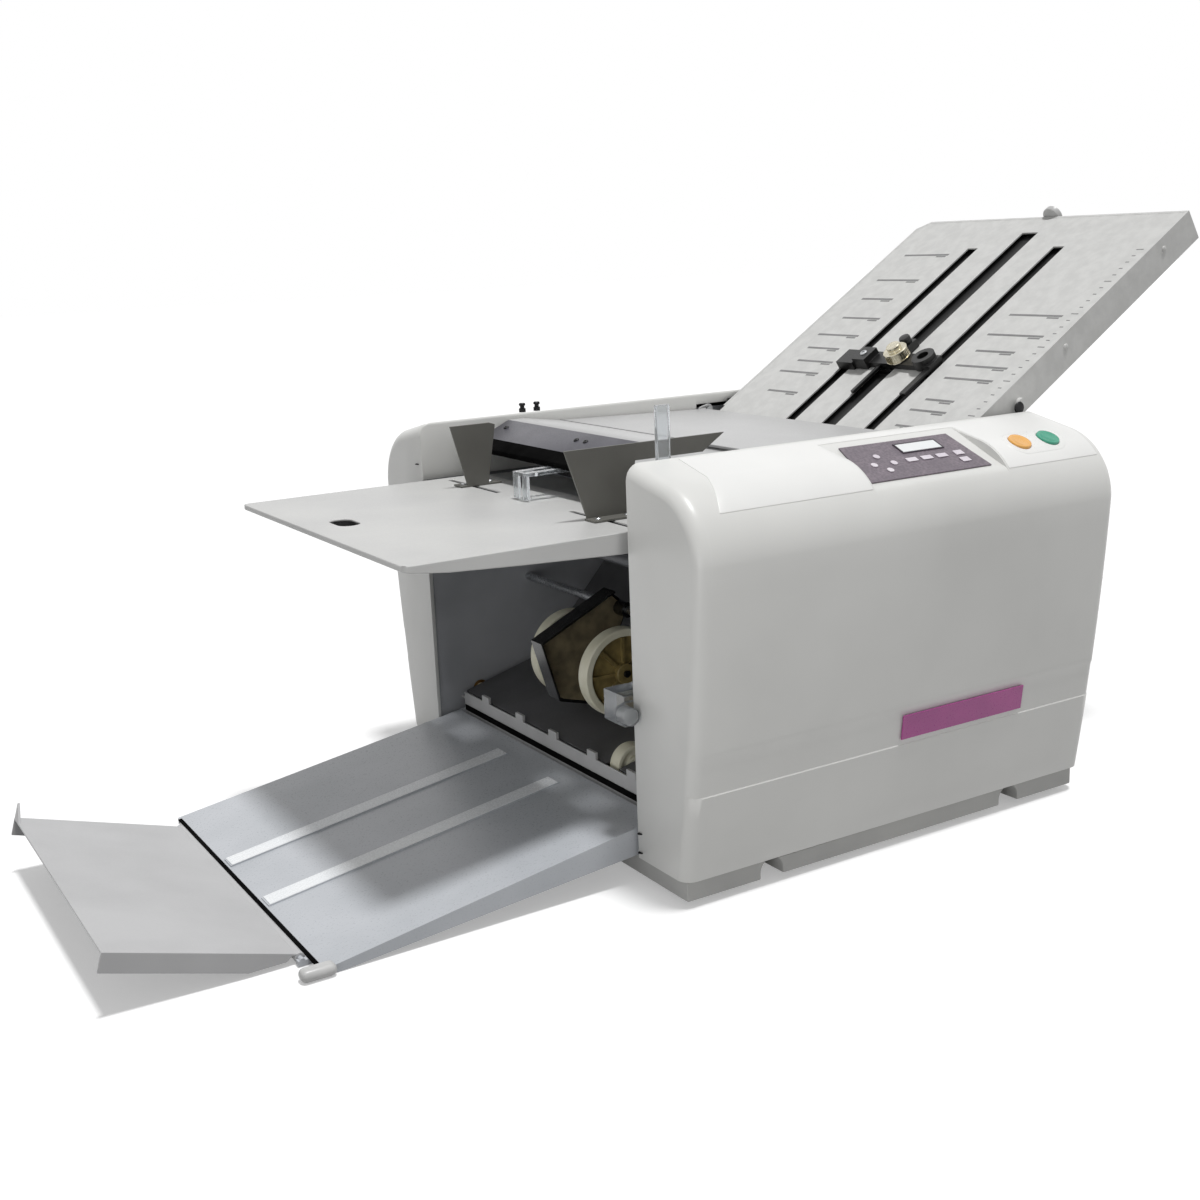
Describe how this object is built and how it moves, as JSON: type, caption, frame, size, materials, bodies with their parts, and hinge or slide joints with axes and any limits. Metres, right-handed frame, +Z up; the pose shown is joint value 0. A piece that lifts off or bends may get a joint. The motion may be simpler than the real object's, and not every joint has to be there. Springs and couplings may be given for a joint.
{
  "type": "paper folding machine",
  "caption": "Desktop paper folder with a flat feed table, rounded side covers, a slotted fold plate rising at the rear and a folding stacker table.",
  "frame": {"origin": "centre of the overall box, on the desk under the feet", "axes": "+X along the paper path from the stacker towards the raised fold plate, +Y across to the side away from the controls, +Z up"},
  "size_m": [1.0632, 0.547, 0.5138],
  "materials": {
    "cover_white": "smooth, slightly glossy moulded plastic",
    "trim_white": "fine satin plastic",
    "tray_grey": "satin plastic",
    "foot_rubber": "matt rubber",
    "frame_steel": "dark grey painted steel",
    "bright_steel": "ground steel",
    "bush_bronze": "sintered bronze",
    "panel_film": "satin film",
    "lcd_window": "clear window",
    "key_white": "satin",
    "board_green": "lacquered board",
    "button_green": "moulded",
    "button_orange": "moulded",
    "badge_film": "glossy film",
    "black_plastic": "satin",
    "dark_plastic": "satin",
    "motor_body": "painted",
    "belt_rubber": "matt",
    "table_paint": "light grey paint",
    "guide_paint": "dark grey paint",
    "feed_rubber": "matt grooved rubber",
    "pad_rubber": "matt rubber",
    "clear_plastic": "clear moulded plastic",
    "roller_rubber": "ground rubber",
    "gear_nylon": "nylon",
    "plate_paint": "light grey paint",
    "knob_metal": "knurled metal",
    "knob_white": "satin",
    "bracket_black": "black paint",
    "wheel_cream": "satin",
    "chute_dark": "dark paint",
    "strip_grey": "satin",
    "stacker_paint": "blue grey paint",
    "extension_paint": "light grey paint"
  },
  "bodies": {
    "machine": {"base_tray": "tray_grey", "feet": "foot_rubber", "near_frame": "frame_steel", "far_frame": "frame_steel", "cross_stays": "bright_steel", "bearings": "bush_bronze", "near_cover": "cover_white", "far_cover": "cover_white", "top_inlay": "trim_white", "control_panel": "panel_film", "display_window": "lcd_window", "panel_keys": "key_white", "control_board": "board_green", "badge_plate": "badge_film", "rear_cover": "cover_white", "power_inlet": "dark_plastic", "main_motor": "motor_body", "drive_belt": "belt_rubber", "feed_table": "table_paint", "separator_pad": "pad_rubber", "separator_holder": "strip_grey", "infeed_guide": "bright_steel", "feed_deck": "trim_white", "fold_plate_top": "plate_paint", "fold_plate_bottom": "plate_paint", "fold_plate_frame": "plate_paint", "second_fold_plate": "bright_steel", "exit_chute": "chute_dark", "exit_strip": "strip_grey", "hinge_pins": "bright_steel", "screws": "bright_steel"},
    "start_button": {"start_button": "button_green"},
    "stop_button": {"stop_button": "button_orange"},
    "power_switch": {"power_switch": "black_plastic"},
    "motor_rotor": {"motor_pulley": "bright_steel"},
    "near_guide": {"near_guide": "guide_paint"},
    "far_guide": {"far_guide": "guide_paint"},
    "feed_roller": {"feed_shaft": "bright_steel", "feed_tyres": "feed_rubber"},
    "pressure_lever": {"pressure_lever": "clear_plastic"},
    "upper_roller": {"roller_upper": "roller_rubber", "gear_upper": "gear_nylon"},
    "centre_roller": {"roller_centre": "roller_rubber", "gear_centre": "gear_nylon"},
    "right_roller": {"roller_right": "roller_rubber", "gear_right": "gear_nylon"},
    "lower_roller": {"roller_lower": "roller_rubber", "gear_lower": "gear_nylon"},
    "stop_carriage": {"stopper_carriage": "black_plastic"},
    "stop_knob": {"stopper_knob": "knob_metal"},
    "skew_knob": {"skew_knob": "knob_white"},
    "second_stop": {"second_stopper": "black_plastic"},
    "delivery_bracket": {"delivery_bracket": "bracket_black"},
    "delivery_wheels": {"delivery_wheels": "wheel_cream"},
    "exit_roller": {"exit_roller": "wheel_cream"},
    "exit_lever": {"exit_lever": "clear_plastic"},
    "stacker": {"stacker": "stacker_paint"},
    "stacker_extension": {"stacker_extension": "extension_paint"},
    "top_cover": {"top_cover": "trim_white", "feed_fingers": "clear_plastic"}
  },
  "joints": [
    {"name": "top_cover_hinge", "type": "hinge", "parent": "machine", "child": "top_cover", "pos_m": [0.21259, 0, 0.3205], "axis": [0, 1, 0], "range_deg": [0, 80]},
    {"name": "stacker_hinge", "type": "hinge", "parent": "machine", "child": "stacker", "pos_m": [-0.09341, 0, 0.042], "axis": [0, 1, 0], "range_deg": [0, 25]},
    {"name": "extension_hinge", "type": "hinge", "parent": "stacker", "child": "stacker_extension", "pos_m": [-0.39142, 0, 0.0046], "axis": [0, 1, 0], "range_deg": [0, 100]},
    {"name": "near_guide_slide", "type": "slide", "parent": "machine", "child": "near_guide", "axis": [0, 1, 0], "range_m": [-0.038, 0.049]},
    {"name": "far_guide_slide", "type": "slide", "parent": "machine", "child": "far_guide", "axis": [0, 1, 0], "range_m": [-0.049, 0.038]},
    {"name": "feed_roller_spin", "type": "hinge", "parent": "machine", "child": "feed_roller", "pos_m": [-0.02141, 0, 0.3053], "axis": [0, 1, 0], "continuous": true},
    {"name": "centre_roller_spin", "type": "hinge", "parent": "machine", "child": "centre_roller", "pos_m": [0.12919, 0, 0.2372], "axis": [0, 1, 0], "continuous": true},
    {"name": "upper_roller_spin", "type": "hinge", "parent": "machine", "child": "upper_roller", "pos_m": [0.12398, 0, 0.26674], "axis": [0, 1, 0], "continuous": true},
    {"name": "right_roller_spin", "type": "hinge", "parent": "machine", "child": "right_roller", "pos_m": [0.15902, 0, 0.23406], "axis": [0, 1, 0], "continuous": true},
    {"name": "lower_roller_spin", "type": "hinge", "parent": "machine", "child": "lower_roller", "pos_m": [0.12605, 0, 0.20736], "axis": [0, 1, 0], "continuous": true},
    {"name": "motor_spin", "type": "hinge", "parent": "machine", "child": "motor_rotor", "pos_m": [0.08559, 0, 0.062], "axis": [0, 1, 0], "continuous": true},
    {"name": "stopper_slide", "type": "slide", "parent": "machine", "child": "stop_carriage", "axis": [0.8443, 0, 0.5358], "range_m": [-0.09, 0.15]},
    {"name": "stopper_knob_turn", "type": "hinge", "parent": "stop_carriage", "child": "stop_knob", "pos_m": [0.30289, -0.016, 0.37525], "axis": [-0.5358, 0, 0.8443], "continuous": true},
    {"name": "skew_knob_turn", "type": "hinge", "parent": "machine", "child": "skew_knob", "pos_m": [0.51645, -0.008, 0.50213], "axis": [0.8443, 0, 0.5358], "continuous": true},
    {"name": "start_button_press", "type": "slide", "parent": "machine", "child": "start_button", "axis": [0, 0.4384, -0.8988], "range_m": [0, 0.002], "stiffness_N_per_m": 600, "springref_m": -0.0006},
    {"name": "stop_button_press", "type": "slide", "parent": "machine", "child": "stop_button", "axis": [0, 0.4384, -0.8988], "range_m": [0, 0.002], "stiffness_N_per_m": 600, "springref_m": -0.0006},
    {"name": "power_switch_rock", "type": "hinge", "parent": "machine", "child": "power_switch", "pos_m": [0.30709, 0.072, 0.062], "axis": [0, 1, 0], "range_deg": [0, 16]},
    {"name": "delivery_lift", "type": "hinge", "parent": "machine", "child": "delivery_bracket", "pos_m": [-0.00841, 0, 0.172], "axis": [0, 1, 0], "range_deg": [0, 25]},
    {"name": "delivery_wheel_spin", "type": "hinge", "parent": "delivery_bracket", "child": "delivery_wheels", "pos_m": [-0.04541, -0.003, 0.131], "axis": [0, 1, 0], "continuous": true},
    {"name": "exit_roller_spin", "type": "hinge", "parent": "machine", "child": "exit_roller", "pos_m": [-0.06941, 0, 0.066], "axis": [0, 1, 0], "continuous": true},
    {"name": "exit_lever_turn", "type": "hinge", "parent": "machine", "child": "exit_lever", "pos_m": [-0.09741, -0.178, 0.146], "axis": [0, 1, 0], "range_deg": [0, 15]},
    {"name": "pressure_lever_tilt", "type": "hinge", "parent": "machine", "child": "pressure_lever", "pos_m": [-0.08341, -0.178, 0.294], "axis": [0, 1, 0], "range_deg": [-30, 0]},
    {"name": "second_stopper_slide", "type": "slide", "parent": "machine", "child": "second_stop", "axis": [0.5, 0, -0.866], "range_m": [-0.06, 0.06]}
  ],
  "couplings": [
    {"joint": "far_guide_slide", "follows": "near_guide_slide", "ratio": -1},
    {"joint": "upper_roller_spin", "follows": "centre_roller_spin", "ratio": -1},
    {"joint": "right_roller_spin", "follows": "centre_roller_spin", "ratio": -1},
    {"joint": "lower_roller_spin", "follows": "centre_roller_spin", "ratio": -1},
    {"joint": "motor_spin", "follows": "centre_roller_spin", "ratio": 1.8333}
  ]
}
